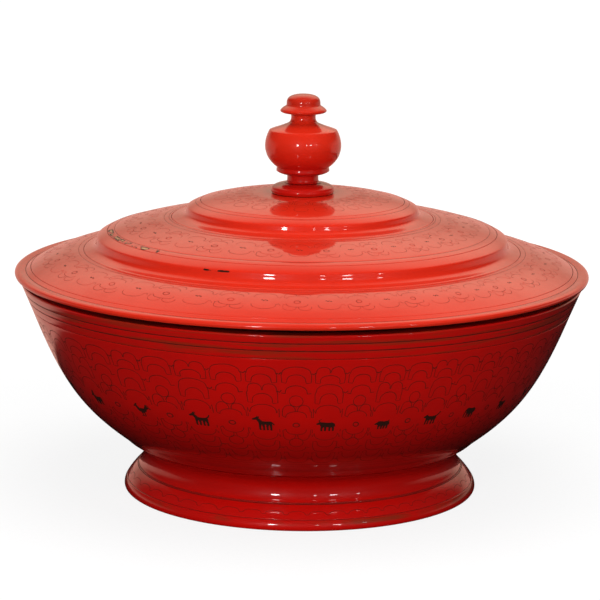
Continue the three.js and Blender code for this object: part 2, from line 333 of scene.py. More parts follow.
def soften(points, closed, edge, step):
    """A finer outline: curved runs pass through the points, and corners are rounded."""
    count = len(points)
    low = Vector((min(p.x for p in points), min(p.y for p in points)))
    high = Vector((max(p.x for p in points), max(p.y for p in points)))
    mirrored = lambda p: Vector((-p.x, p.y))
    before = lambda i: points[i - 1] if closed or i else mirrored(points[1])
    after = lambda i: points[(i + 1) % count] if closed or i < count - 1 else mirrored(points[-2])
    tangents = []
    corners = []
    for i, point in enumerate(points):
        arriving = point - before(i)
        leaving = after(i) - point
        turn = abs(arriving.angle_signed(leaving, 0))
        on_axis = not closed and i in (0, count - 1)
        corners.append(turn > CORNER and not on_axis)
        a, b = arriving.length, leaving.length
        tangents.append((arriving.normalized() * b + leaving.normalized() * a) / (a + b))
    outline = []
    for i in range(count if closed else count - 1):
        j = (i + 1) % count
        run = points[j] - points[i]
        along = run.normalized()
        start, end = points[i], points[j]
        reach = min(edge, run.length * CORNER_SHARE)
        if corners[i]:
            start = points[i] + along * min(reach, (points[i] - before(i)).length * CORNER_SHARE)
        if corners[j]:
            end = points[j] - along * min(reach, (after(j) - points[j]).length * CORNER_SHARE)
        leave = along if corners[i] else tangents[i]
        arrive = along if corners[j] else tangents[j]
        length = (end - start).length
        bend = leave.angle(along, 0) + arrive.angle(along, 0)
        steps = max(3, math.ceil(length / step))
        for k in range(steps):
            t = k / steps
            if bend < STRAIGHT:
                outline.append(start + along * length * t)
            else:
                outline.append(start * (2 * t**3 - 3 * t**2 + 1) + leave * length * (t**3 - 2 * t**2 + t)
                               + end * (3 * t**2 - 2 * t**3) + arrive * length * (t**3 - t**2))
        if bend < STRAIGHT:
            outline.append(end - along * min(0.3 * MM, length / 6))
        outline.append(end)
        if corners[j] and (closed or j < count - 1):
            following = after(j) - points[j]
            reach_on = min(edge, min(following.length, run.length) * CORNER_SHARE)
            far = points[j] + following.normalized() * reach_on
            for t in (0.25, 0.5, 0.75):
                outline.append(end * (1 - t)**2 + points[j] * 2 * t * (1 - t) + far * t**2)
    tidy = []
    for point in outline:
        inside = Vector((min(max(point.x, low.x), high.x), min(max(point.y, low.y), high.y)))
        if not tidy or (inside - tidy[-1]).length > FINE:
            tidy.append(inside)
    if closed and (tidy[0] - tidy[-1]).length <= FINE:
        tidy.pop()
    return tidy


def relax(points, low, high, reach):
    """Rounds the points between two shares of their height by averaging along the outline."""
    run = Run(points, False)
    side = 6
    bottom, top = min(p.y for p in points), max(p.y for p in points)
    floor, ceiling = bottom + (top - bottom) * low, bottom + (top - bottom) * high
    rounded = []
    for point, length in zip(points, run.lengths):
        span = min(reach, point.y - floor, ceiling - point.y, length, run.lengths[-1] - length)
        if span > FINE:
            weights = {k: side + 1 - abs(k) for k in range(-side, side + 1)}
            spots = [run.place(length + span * k / side)[0] * weight for k, weight in weights.items()]
            point = sum(spots, Vector((0, 0))) / sum(weights.values())
        rounded.append(point)
    return rounded


class Run:
    """The shown side of a section: up its height, or for the lid inward from its edge."""

    def __init__(self, points, inward):
        self.points = points
        self.inward = inward
        self.lengths = [0.0]
        for first, second in zip(points, points[1:]):
            self.lengths.append(self.lengths[-1] + (second - first).length)

    def reach(self, share):
        """Length along the run to the place that lies this share of the way up or inward."""
        value = (lambda p: p.x) if self.inward else (lambda p: p.y)
        goal = value(self.points[0]) * (1 - share) + value(self.points[-1]) * share
        for i, (first, second) in enumerate(zip(self.points, self.points[1:])):
            low, high = sorted((value(first), value(second)))
            if low <= goal <= high and high > low:
                part = (goal - value(first)) / (value(second) - value(first))
                return self.lengths[i] + part * (second - first).length
        raise ValueError("the run has no such place")

    def place(self, length):
        """Point and outward direction at a length along the run."""
        last = len(self.points) - 2
        i = max(k for k in range(last + 1) if k == 0 or self.lengths[k] <= length)
        along = (self.points[i + 1] - self.points[i]).normalized()
        return self.points[i] + along * (length - self.lengths[i]), Vector((along.y, -along.x))

    def radius(self, length):
        return self.place(length)[0].x


def split(outline, inward):
    """An outline's shown points, from foot or rim to head, and the points behind them."""
    order = range(len(outline))
    if inward:
        start = max(order, key=lambda i: (round(outline[i].x, 5), outline[i].y))
    else:
        start = max(order, key=lambda i: (-round(outline[i].y, 5), outline[i].x))
    end = max(order, key=lambda i: (round(outline[i].y, 5), outline[i].x))
    count = len(outline)
    walk = [outline[(start + k) % count] for k in order]
    shown = (end - start) % count + 1
    return walk[:shown], walk[shown:]


def cut(shown, inward, share, width, depth):
    """Cuts a groove into the shown points: its middle deepest, its sides steep."""
    run = Run(shown, inward)
    middle = run.reach(share)
    groove = []
    for part, sunk in ((-0.5, 0), (-0.3, 0.45), (-0.12, 0.92), (0, 1), (0.12, 0.92), (0.3, 0.45), (0.5, 0)):
        point, outward = run.place(middle + part * width)
        groove.append(point - outward * depth * sunk)
    before = [p for p, at in zip(shown, run.lengths) if at < middle - width / 2 - FINE]
    after = [p for p, at in zip(shown, run.lengths) if at > middle + width / 2 + FINE]
    return before + groove + after


def link(name, mesh):
    piece = bpy.data.objects.new(name, mesh)
    bpy.context.scene.collection.objects.link(piece)
    return piece


def spin(name, outline, closed, around, material):
    """A turned piece: the outline carried round the axis."""
    vertices = []
    rows = []
    for point in outline:
        if point.x < ON_AXIS:
            rows.append([len(vertices)] * around)
            vertices.append((0, 0, point.y))
        else:
            rows.append([len(vertices) + k for k in range(around)])
            for k in range(around):
                angle = TURN * k / around
                vertices.append((point.x * math.sin(angle), -point.x * math.cos(angle), point.y))
    faces = []
    pairs = list(zip(rows, rows[1:] + rows[:1])) if closed else list(zip(rows, rows[1:]))
    for lower, upper in pairs:
        for k in range(around):
            n = (k + 1) % around
            corners = [lower[k], lower[n], upper[n], upper[k]]
            faces.append([c for i, c in enumerate(corners) if c != corners[i - 1]])
    mesh = bpy.data.meshes.new(name)
    mesh.from_pydata(vertices, [], faces)
    mesh.polygons.foreach_set("use_smooth", [True] * len(faces))
    mesh.materials.append(material)
    mesh.validate()
    return link(name, mesh)


def turned(node, body, material, inward=False, grooves=(), rounding=(), shape=None):
    """Replaces a frame node by its finer turned piece.

    A groove is (share of the way, width, depth), a rounding is (low share, high share, reach), and a shape
    makes a new section of the frame's own.
    """
    sizes = bpy.context.scene.vessel_turning
    points, closed = section(node)
    if shape:
        points = shape(points)
    outline = soften(points, closed, sizes.edge, sizes.step)
    if not closed:
        for low, high, reach in rounding:
            outline = relax(outline, low, high, reach)
    else:
        shown, behind = split(outline, inward)
        for low, high, reach in rounding:
            shown = relax(shown, low, high, reach)
        for share, width, depth in grooves:
            shown = cut(shown, inward, share, width, depth)
        RUNS[node] = Run(shown, inward)
        outline = shown + behind
    piece = spin(node + "_turned", outline, closed, sizes.around, material)
    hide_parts(node)
    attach(piece, body)
    return piece


# Incised drawing, laid flat first: metres round the vessel across, metres along the run up

class Inlay:
    """A flat sheet of pigment strokes."""

    def __init__(self):
        self.vertices = []
        self.faces = []
        self.bold = []

    def stroke(self, points, widths, closed=False, squeeze=1.0, bold=0.0):
        """A ribbon along the points; squeeze turns true widths into the sheet's own."""
        base = len(self.vertices)
        count = len(points)
        for i, (point, width) in enumerate(zip(points, widths)):
            before = points[i - 1] if closed or i else point
            after = points[(i + 1) % count] if closed or i < count - 1 else point
            along = (after - before).normalized()
            side = Vector((-along.y, along.x)) * width / 2
            for edge in (point - side, point + side):
                self.vertices.append((edge.x * squeeze, edge.y, 0))
                self.bold.append(bold)
        for i in range(count if closed else count - 1):
            a, b = base + 2 * i, base + 2 * ((i + 1) % count)
            self.faces.append((a, b, b + 1, a + 1))

    def object(self, name):
        mesh = bpy.data.meshes.new(name)
        mesh.from_pydata(self.vertices, [], self.faces)
        mesh.attributes.new("bold", "FLOAT", "POINT").data.foreach_set("value", self.bold)
        return bpy.data.objects.new(name, mesh)


class Cell:
    """One place in a row: draws strokes given in shares of its width and height."""

    def __init__(self, inlay, low, high, width, squeeze, line, flip=False):
        self.inlay = inlay
        self.low = low
        self.height = high - low
        self.width = width
        self.squeeze = squeeze
        self.weight = line
        self.flip = flip

    def spot(self, u, v):
        return Vector((u * self.width, self.low + self.height * (1 - v if self.flip else v)))

    def line(self, places, thick=1.0):
        points = [self.spot(*place) for place in places]
        self.inlay.stroke(points, [self.weight * thick] * len(points), squeeze=self.squeeze)

    def arch(self, half, foot, top, middle=0.0, thick=1.0, steps=10):
        """A round-shouldered arch over its middle."""
        places = []
        for k in range(steps + 1):
            turn = math.pi * k / steps
            places.append((middle - half * math.cos(turn), foot + (top - foot) * math.sin(turn) ** 0.8))
        self.line(places, thick)

    def ring(self, u, v, across, tall, thick=1.0, steps=12):
        middle = self.spot(u, v)
        points = []
        for k in range(steps):
            turn = TURN * k / steps
            points.append(middle + Vector((across / 2 * math.cos(turn), tall / 2 * math.sin(turn))))
        self.inlay.stroke(points, [self.weight * thick] * steps, closed=True, squeeze=self.squeeze)

    def blot(self, places, widths, unit, base):
        """A filled tapering shape: places and widths in units, from a base point, with rounded ends."""
        points = [base + Vector(place) * unit for place in places]
        wide = [width * unit for width in widths]
        head = (points[0] - points[1]).normalized() * wide[0] * 0.4
        tail = (points[-1] - points[-2]).normalized() * wide[-1] * 0.4
        points = [points[0] + head, points[0]] + points[1:-1] + [points[-1], points[-1] + tail]
        wide = [wide[0] * 0.45, wide[0]] + wide[1:-1] + [wide[-1], wide[-1] * 0.45]
        self.inlay.stroke(points, wide, squeeze=self.squeeze, bold=1.0)


def feet(cell, half, inner, shoulder):
    """The squared ends of a band-like arch, with a hook towards the next cell."""
    for side in (-1, 1):
        cell.line([(side * half, shoulder), (side * (half + 0.03), shoulder - 0.12),
                   (side * (half + 0.02), 0.04), (side * inner, 0.01), (side * (inner - 0.02), 0.1)])
    cell.line([(half + 0.02, shoulder), (0.5, shoulder - 0.06), (0.98 - half, shoulder + 0.04)], thick=1.5)


def hood(cell):
    """An arched band with squared feet."""
    cell.arch(0.41, 0.6, 0.97)
    cell.arch(0.28, 0.1, 0.52)
    feet(cell, 0.41, 0.3, 0.6)


def twin(cell):
    """A band whose upper edge is a pair of small arches."""
    cell.arch(0.205, 0.64, 0.97, middle=-0.215)
    cell.arch(0.205, 0.64, 0.97, middle=0.215)
    cell.arch(0.3, 0.1, 0.48)
    feet(cell, 0.42, 0.3, 0.62)


def crest(cell):
    """A wide arch over a ring."""
    cell.arch(0.33, 0.5, 0.9)
    for side in (-1, 1):
        cell.line([(side * 0.33, 0.5), (side * 0.45, 0.53)])
    cell.ring(0, 0.13, 9.4 * MM, 9.6 * MM)


def dots(cell):
    """A worn figure, of which only dots are left, between two bowed lines."""
    base = cell.spot(0, 0.5)
    for x, y, wide in ((-2.4, 0.4, 1.0), (-0.9, -0.3, 1.3), (0.6, 0.5, 0.9), (1.9, -0.5, 1.2)):
        cell.blot([(x, y), (x + 0.5, y + 0.6)], [wide, wide * 0.8], 0.8 * MM, base)
    for sign in (1, -1):
        level = lambda v: 0.5 + sign * v
        cell.arch(0.36, level(0.2), level(0.42))
        cell.line([(0.36, level(0.2)), (0.44, level(0.16)), (0.5, level(0.26))])


def eye(cell):
    """An eye between two arches, with a pair of small arches beyond each."""
    for sign in (1, -1):
        level = lambda v: 0.5 + sign * v
        for middle in (-0.225, 0.235):
            cell.arch(0.2, level(0.3), level(0.47), middle=middle, steps=8)
        cell.arch(0.33, level(0.16), level(0.31))
        cell.line([(-0.42, level(0.3)), (-0.43, level(0.2)), (-0.33, level(0.16))])
    cell.ring(0, 0.46, 4.2 * MM, 3.8 * MM, thick=1.8, steps=10)


def cartouche(cell):
    """A frame of two bowed lines with hooked ends, open at the sides."""
    for sign in (1, -1):
        level = lambda v: 0.5 + sign * v
        cell.arch(0.4, level(0.27), level(0.47))
        for side in (-1, 1):
            cell.line([(side * 0.4, level(0.27)), (side * 0.47, level(0.38)), (side * 0.47, level(0.16))])
        cell.line([(-0.47, level(0.16)), (-0.53, level(0.16)), (-0.53, level(0.32))])


def beast(cell, size, body, depth, leg, neck, lift, snout, ear, tail, curl, trunk=0.0, horn=0.0):
    """A small animal that walks to the left, in filled strokes; its sizes are in units."""
    base = cell.spot(0.03, 0.3)
    draw = lambda places, widths: cell.blot(places, widths, size, base)
    back = body / 2
    spine = leg + depth / 2
    draw([(-back, spine), (0, spine - 0.1), (back, spine)], [depth * 0.95, depth * 0.85, depth * 0.95])
    for x, lean in ((-back - 0.2, -0.4), (-back + 1.6, 0.3), (back - 1.7, -0.2), (back + 0.1, 0.4)):
        draw([(x, spine - depth * 0.2), (x + lean, leg * 0.45), (x + lean * 0.6, 0.3)], [1.9, 1.2, 1.3])
    crown = (-back - neck * 0.8, spine + lift)
    draw([(-back + 0.4, spine + depth * 0.1), crown], [depth * 0.85, 1.9])
    muzzle = (crown[0] - snout, crown[1] - snout * 0.35)
    draw([crown, muzzle], [2.3, 1.3])
    if ear:
        for shift in (0.0, 0.9):
            root = (crown[0] + shift, crown[1] + 0.7)
            draw([root, (root[0] + ear * 0.3, root[1] + ear)], [1.1, 0.6])
    if trunk:
        draw([muzzle, (muzzle[0] - 0.6, leg * 0.8), (muzzle[0] - 0.1, leg * 0.25)], [1.5, 1.1, 0.8])
    if horn:
        draw([(crown[0], crown[1] + 0.8), (crown[0] - horn * 0.4, crown[1] + 0.8 + horn * 0.6),
              (crown[0] + horn * 0.2, crown[1] + 0.9 + horn)], [0.8, 0.7, 0.5])
    if tail:
        draw([(back, spine + depth * 0.3), (back + tail * 0.6, spine + depth * 0.3 + curl * 0.4),
              (back + tail, spine + depth * 0.3 + curl)], [1.3, 1.0, 0.7])


def bird(cell, size):
    """A standing bird with a raised tail, in filled strokes."""
    base = cell.spot(0, 0.3)
    draw = lambda places, widths: cell.blot(places, widths, size, base)
    draw([(-2.2, 5.2), (0, 4.8), (2.4, 5.6)], [2.2, 4.2, 2.6])
    draw([(-2.2, 5.4), (-3.6, 8.4)], [2.4, 1.5])
    draw([(-3.4, 8.6), (-5.4, 8.0)], [1.8, 0.5])
    draw([(-3.4, 9.4), (-2.6, 10.4)], [1.3, 0.6])
    for rise, reach in ((4.4, 3.2), (2.2, 4.2)):
        draw([(2.2, 5.8), (2.4 + reach * 0.6, 5.8 + rise), (2.4 + reach, 5.4 + rise * 0.8)], [1.8, 1.5, 0.8])
    for x in (-0.8, 1.0):
        draw([(x, 3.4), (x + 0.2, 0.4)], [0.9, 0.7])
        draw([(x + 0.2, 0.3), (x - 1.1, 0.2)], [0.6, 0.5])


# The animals, in units of their size
BEASTS = {
    "dog": dict(body=6.0, depth=3.2, leg=4.0, neck=2.2, lift=3.4, snout=2.0, ear=1.2, tail=2.4, curl=3.2),
    "hare": dict(body=4.8, depth=4.2, leg=2.6, neck=1.9, lift=2.2, snout=1.1, ear=3.4, tail=1.1, curl=0.8),
    "elephant": dict(body=5.2, depth=5.4, leg=3.0, neck=2.0, lift=1.6, snout=1.2, ear=0.6, tail=1.4,
                     curl=-2.2, trunk=1.0),
    "horse": dict(body=6.0, depth=3.4, leg=4.6, neck=2.6, lift=3.8, snout=2.4, ear=0.9, tail=2.2, curl=-2.4),
    "ox": dict(body=6.4, depth=4.4, leg=3.2, neck=2.2, lift=1.4, snout=2.0, ear=0.0, tail=1.6, curl=-2.6,
               horn=2.4),
    "pig": dict(body=5.6, depth=4.6, leg=2.4, neck=1.8, lift=0.4, snout=1.8, ear=1.0, tail=1.3, curl=1.2),
    "tiger": dict(body=6.6, depth=3.6, leg=3.4, neck=2.2, lift=1.6, snout=1.3, ear=0.7, tail=3.4, curl=3.6),
}
FIGURES = ("ox", "pig", "tiger", "elephant", "hare", "bird", "dog", "horse")
FIGURE_SIZE = 1.08 * MM


def animal(cell, name):
    if name == "bird":
        bird(cell, FIGURE_SIZE)
    else:
        beast(cell, FIGURE_SIZE, **BEASTS[name])


def band_tree():
    """Picks a drawn motif for each column, lets the hand stray, and bends the sheet on to the profile."""
    tree = bpy.data.node_groups.new("incised_band", "GeometryNodeTree")
    kinds = (("Columns", "Geometry"), ("Motifs", "Collection"), ("Profile", "Object"), ("Radius", "Float"),
             ("Lift", "Float"), ("Wobble", "Float"), ("Wobble Size", "Float"), ("Pigment", "Material"))
    for name, kind in kinds:
        tree.interface.new_socket(name, in_out="INPUT", socket_type="NodeSocket" + kind)
    tree.interface.new_socket("Geometry", in_out="OUTPUT", socket_type="NodeSocketGeometry")
    entry = tree.nodes.new("NodeGroupInput")
    given = {name: Flow(entry.outputs[name]) for name, _ in kinds}
    add = lambda kind, settings=None, inputs=None, output=0: add_node(tree, kind, settings, inputs, output)

    motifs = add("GeometryNodeCollectionInfo", None,
                 {"Collection": given["Motifs"], "Separate Children": True, "Reset Children": True})
    kind = add("GeometryNodeInputNamedAttribute", {"data_type": "INT"}, {"Name": "kind"})
    stretch = add("GeometryNodeInputNamedAttribute", {"data_type": "FLOAT"}, {"Name": "stretch"})
    scale_across = add("ShaderNodeCombineXYZ", None, {0: stretch, 1: 1.0, 2: 1.0})
    placed = add("GeometryNodeInstanceOnPoints", None, {
        "Points": given["Columns"], "Instance": motifs, "Pick Instance": True, "Instance Index": kind,
        "Scale": scale_across})
    sheet = add("GeometryNodeRealizeInstances", None, {"Geometry": placed})

    place = add("GeometryNodeInputPosition")
    scale = 1.0 / given["Wobble Size"]
    stray = add("ShaderNodeTexNoise", None, {"Vector": place, "Scale": scale, "Detail": 1.0}, output=1)
    stray_split = add("ShaderNodeSeparateXYZ", None, {0: stray}).socket.node.outputs
    split_place = add("ShaderNodeSeparateXYZ", None, {0: place}).socket.node.outputs
    across = Flow(split_place[0]) + (Flow(stray_split[0]) - 0.5) * given["Wobble"] * 2.0
    length = Flow(split_place[1]) + (Flow(stray_split[1]) - 0.5) * given["Wobble"] * 2.0

    profile = add("GeometryNodeObjectInfo", None, {"Object": given["Profile"]}, output="Geometry")
    sampled = add("GeometryNodeSampleCurve", {"mode": "LENGTH", "use_all_curves": True},
                  {"Curves": profile, "Length": length}, output="Position").socket.node.outputs
    spot = add("ShaderNodeSeparateXYZ", None, {0: Flow(sampled["Position"])}).socket.node.outputs
    along = add("ShaderNodeSeparateXYZ", None, {0: Flow(sampled["Tangent"])}).socket.node.outputs
    radius = Flow(spot[0]) + Flow(along[2]) * given["Lift"]
    height = Flow(spot[2]) - Flow(along[0]) * given["Lift"]
    angle = across / given["Radius"]
    x = radius * angle.math("SINE", angle)
    y = 0.0 - radius * angle.math("COSINE", angle)
    bent = add("ShaderNodeCombineXYZ", None, {0: x, 1: y, 2: height})
    laid = add("GeometryNodeSetPosition", None, {"Geometry": sheet, "Position": bent})
    finished = add("GeometryNodeSetMaterial", None, {"Geometry": laid, "Material": given["Pigment"]})
    exit_node = tree.nodes.new("NodeGroupOutput")
    tree.links.new(finished.socket, exit_node.inputs[0])
    return tree


def profile_curve(run):
    """The run as a curve in the plane of the section."""
    curve = bpy.data.curves.new("profile", "CURVE")
    curve.dimensions = "3D"
    spline = curve.splines.new("POLY")
    spline.points.add(len(run.points) - 1)
    for point, place in zip(spline.points, run.points):
        point.co = (place.x, 0, place.y, 1)
    return bpy.data.objects.new("profile", curve)


def incised_band(name, body, run, motifs, kinds, front, radius, material):
    """Runs the band's Geometry Nodes over its columns and keeps the result as a plain mesh."""
    hand = bpy.context.scene.vessel_incising
    tree = bpy.data.node_groups.get("incised_band") or band_tree()
    shelf = bpy.data.collections.new(name + "_motifs")
    for i, inlay in enumerate(motifs):
        shelf.objects.link(inlay.object("%s_motif_%02d" % (name, i)))
    profile = profile_curve(run)
    count = len(kinds)
    even = [TURN * (i - count // 2) / count for i in range(count)]
    angles = [front + angle + hand.drift * (math.cos(2 * angle) - 1) for angle in even]
    points = bpy.data.meshes.new(name)
    points.from_pydata([(angle * radius, 0, 0) for angle in angles], [], [])
    points.attributes.new("kind", "INT", "POINT").data.foreach_set("value", kinds)
    stretches = [1 - 2 * hand.drift * math.sin(2 * angle) for angle in even]
    points.attributes.new("stretch", "FLOAT", "POINT").data.foreach_set("value", stretches)
    columns = link(name + "_columns", points)
    modifier = columns.modifiers.new("incising", "NODES")
    modifier.node_group = tree
    values = {"Motifs": shelf, "Profile": profile, "Radius": radius, "Lift": hand.lift,
              "Wobble": hand.wobble, "Wobble Size": hand.wobble_size, "Pigment": material}
    for item in tree.interface.items_tree:
        if item.in_out == "INPUT" and item.name in values:
            modifier[item.identifier] = values[item.name]
    bpy.context.view_layer.update()
    graph = bpy.context.evaluated_depsgraph_get()
    mesh = bpy.data.meshes.new_from_object(columns.evaluated_get(graph), depsgraph=graph)
    mesh.name = name
    columns.modifiers.remove(modifier)
    for helper in [columns, profile, *shelf.objects]:
        bpy.data.objects.remove(helper)
    bpy.data.collections.remove(shelf)
    if len(mesh.polygons) == 0:
        raise RuntimeError(name + " came out empty")
    piece = link(name, mesh)
    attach(piece, body)
    return piece


def turned_lines(name, body, lines, material):
    """Pigment rings at the bottom of turned lines: each is (run, share of the way, width)."""
    sizes = bpy.context.scene.vessel_turning
    hand = bpy.context.scene.vessel_incising
    rings = []
    for run, share, width in lines:
        middle = run.reach(share)
        edge = []
        for part in (-0.5, 0, 0.5):
            point, _ = run.place(middle + part * width)
            _, outward = run.place(middle + (part or 0.3) * width * 1.6)
            edge.append(point + outward * hand.lift)
        rings.append(spin(name, edge, False, sizes.around, material))
    return join(name, body, rings)


def seam_lines(name, body, seams, material):
    """Pigment that fills the seams between neighbours: each is (lower run, upper run, width)."""
    sizes = bpy.context.scene.vessel_turning
    rings = []
    for lower, upper, width in seams:
        first, second = lower.points[-1], upper.points[0]
        across = (second - first).normalized()
        inward = Vector((-across.y, across.x))
        middle = (first + second) / 2 + inward * 0.02 * MM
        edge = [middle + across * width * part for part in (-0.5, 0.5)]
        rings.append(spin(name, edge, False, sizes.around, material))
    return join(name, body, rings)


def join(name, body, parts):
    """Makes one piece of several, and sets it on its body."""
    mesh = bpy.data.meshes.new(name)
    vertices = []
    faces = []
    for part in parts:
        base = len(vertices)
        vertices += [tuple(v.co) for v in part.data.vertices]
        faces += [tuple(base + i for i in p.vertices) for p in part.data.polygons]
    mesh.from_pydata(vertices, [], faces)
    mesh.polygons.foreach_set("use_smooth", [True] * len(faces))
    mesh.materials.append(parts[0].data.materials[0])
    for part in parts:
        bpy.data.objects.remove(part)
    piece = link(name, mesh)
    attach(piece, body)
    return piece


# Lacquer

def lacquer(name, main, deep, roughness=0.3, coat=1.0, wear_and_shade=None):
    """Glossy lacquer: slow changes of tone, rubbed patches, painted shade and the faint ridges of the coils
    under it.
    """
    finish = Finish(name, roughness, coat)
    cloud = finish.noise(9, detail=4, roughness=0.6).smooth(0.35, 0.7)
    mottle = finish.noise(70, detail=3, roughness=0.65).smooth(0.35, 0.75)
    colour = mix_colour(cloud * 0.5 + mottle * 0.3, main, deep)
    gloss = 1.0 - finish.noise(35, detail=5).smooth(0.55, 0.85) * 0.2
    if wear_and_shade:
        colour, gloss = wear_and_shade(finish, colour, gloss)
    finish.set(base_color=colour, roughness=roughness + mottle * 0.08, coat_weight=gloss)
    coils = finish.noise(1, detail=2, place=finish.stretched(18, 18, 260)) * 0.7
    orange_peel = finish.noise(240, detail=2) * 0.3
    finish.bump(coils + orange_peel, 0.1 * MM, 0.4)
    return finish.material


def bowl_wear_and_shade(finish, colour, gloss):
    """Brown streaks in the rim band, brown along the foot's edge, and painted shade darkening the neck and
    the lower wall.
    """
    colours = bpy.context.scene.vessel_colours
    along = finish.noise(1, detail=3, place=finish.stretched(14, 14, 330))
    height = finish.height
    band = height.smooth(RIM_LOW - MM, RIM_LOW + MM) * along.smooth(0.48, 0.64)
    low, high = FOOT_HOOP_TOP * 0.46, FOOT_HOOP_TOP * 0.85
    edge = height.band(low, low + 1.5 * MM, high, high + 1.5 * MM)
    rubbed = edge * finish.noise(22, detail=4).smooth(0.44, 0.6)
    # Painted shade: the lower wall above the foot is darkened where it faces down into shade.
    painted_shade_low_wall = height.band(FOOT_TOP - 4 * MM, FOOT_TOP + 2 * MM, FOOT_TOP + 7 * MM, FOOT_TOP + 57 * MM)
    # Painted shade: the neck round the foot collar is darkened too, at six tenths of the lower wall's.
    low, high = STRONG_LINE - 1.6 * MM, FOOT_TOP + 2 * MM
    neck = height.band(low, low + 8 * MM, high, high + 10 * MM) * (1.0 - painted_shade_low_wall)
    colour = mix_colour(painted_shade_low_wall + neck * 0.6, colour, dimmed(colours.red, 0.62))
    colour = mix_colour(band * 0.6, colour, colours.rubbed)
    return mix_colour(rubbed * 0.7, colour, colours.rubbed), gloss - rubbed * 0.4


def lid_wear_and_shade(finish, colour, gloss):
    """Chips on the middle tier and hoop, a darker cap, painted shade in a deeper red on the stem, the disc
    and the bulb's underside, and painted shade in near black under the lip.
    """
    colours = bpy.context.scene.vessel_colours
    for across, low, high, left, right, fullness, ground in LID_CHIPS:
        worn = finish.patch(getattr(finish, across), low, high, left, right, fullness)
        colour = mix_colour(worn, colour, getattr(colours, ground))
        gloss = gloss * (1.0 - worn)
    height = finish.height
    cap = height.smooth(CAD_HIGH[2] - 16 * MM, CAD_HIGH[2] - 6 * MM)
    colour = mix_colour(cap * 0.5, colour, dimmed(colours.lid_red_lit_and_faded, 0.5))
    # Painted shade: the stem, the disc and the underside of the bulb are turned to a deeper, darker red.
    low, high = LID_TOP + 0.1 * MM, LID_TOP + 16.4 * MM
    stem_painted_shade = height.band(low, low + 0.8 * MM, high, high + 24 * MM)
    colour = mix_colour(stem_painted_shade * 0.85, colour, colours.deep_red)
    # Painted shade: below the lip's middle the lid is near black and without gloss, where the gap under the
    # lid lies in shade.
    under = 1.0 - height.smooth(LID_LOW + 0.7 * MM, LID_LOW + 1.2 * MM)
    return mix_colour(under, colour, colours.inside), gloss * (1.0 - under)


# Chips of the lid: between two radii or heights, and two angles from the front, how full, and what shows
LID_CHIPS = (
    ("radius", MIDDLE_TIER_RADIUS - 4.75 * MM, MIDDLE_TIER_RADIUS + 0.45 * MM, -88, -44, 0.53, "pigment"),
    ("radius", MIDDLE_TIER_RADIUS - 3.95 * MM, MIDDLE_TIER_RADIUS - 0.55 * MM, -86, -46, 0.49, "bare"),
    ("height", MIDDLE_HOOP_TOP - 6.1 * MM, MIDDLE_HOOP_TOP - 3.4 * MM, -28, -18, 0.6, "pigment"),
)


def pigment(name, share_worn, ground):
    """Dark pigment in the lines, worn back to the lacquer in places and more so towards the foot."""
    colours = bpy.context.scene.vessel_colours
    finish = Finish(name, 0.6, 0.15, 0.2)
    lower = 1.0 - finish.height.smooth(FOOT_TOP + 17 * MM, FOOT_TOP + 87 * MM)
    worn = finish.noise(160, detail=3).smooth(0.35, 0.7) * share_worn + lower * 0.12 + share_worn * 0.4
    bold = add_node(finish.tree, "ShaderNodeAttribute", {"attribute_name": "bold"}, None, output="Fac")
    finish.set(base_color=mix_colour(worn * (1.0 - bold), colours.pigment, ground))
    return finish.material


def red_lacquer():
    colours = bpy.context.scene.vessel_colours
    made = bpy.data.materials.get("red_lacquer_gloss")
    return made or lacquer("red_lacquer_gloss", colours.red, colours.deep_red, wear_and_shade=bowl_wear_and_shade)


# The lid's lacquer, partly painted light: lighter and more orange than the bowl's, as lit from above.
def lit_faded_lacquer():
    colours = bpy.context.scene.vessel_colours
    darker = dimmed(colours.lid_red_lit_and_faded, 0.9)
    made = bpy.data.materials.get("lit_faded_lacquer_gloss")
    return made or lacquer("lit_faded_lacquer_gloss", colours.lid_red_lit_and_faded, darker, wear_and_shade=lid_wear_and_shade)


def dark_lacquer():
    colours = bpy.context.scene.vessel_colours
    darker = dimmed(colours.inside, 0.6)
    made = bpy.data.materials.get("dark_lacquer_satin")
    return made or lacquer("dark_lacquer_satin", colours.inside, darker, 0.4, 0.5)


def strong_pigment():
    ground = bpy.context.scene.vessel_colours.deep_red
    return bpy.data.materials.get("strong_pigment") or pigment("strong_pigment", 0.2, ground)


def faint_pigment():
    ground = bpy.context.scene.vessel_colours.lid_red_lit_and_faded
    return bpy.data.materials.get("faint_pigment") or pigment("faint_pigment", 0.55, ground)


class VESSEL_OT_foot(bpy.types.Operator):
    """Turns the three hoops of the foot"""
    bl_idname = "vessel.foot"
    bl_label = "Foot"

    def execute(self, context):
        for node in ("foot_base_hoop", "foot_flare", "foot_collar"):
            turned(node, "bowl", red_lacquer())
        return {"FINISHED"}


class VESSEL_OT_bowl(bpy.types.Operator):
    """Turns the bowl's wall, rim, floor and mouth ring"""
    bl_idname = "vessel.bowl"
    bl_label = "Bowl"

    def execute(self, context):
        turned("bowl_wall", "bowl", red_lacquer())
        grooves = [(share, 1.3 * MM, 0.12 * MM) for share in RIM_LINES]
        turned("bowl_rim_band", "bowl", red_lacquer(), grooves=grooves)
        for node in ("bowl_floor", "mouth_seat_ring"):
            turned(node, "bowl", dark_lacquer())
        return {"FINISHED"}


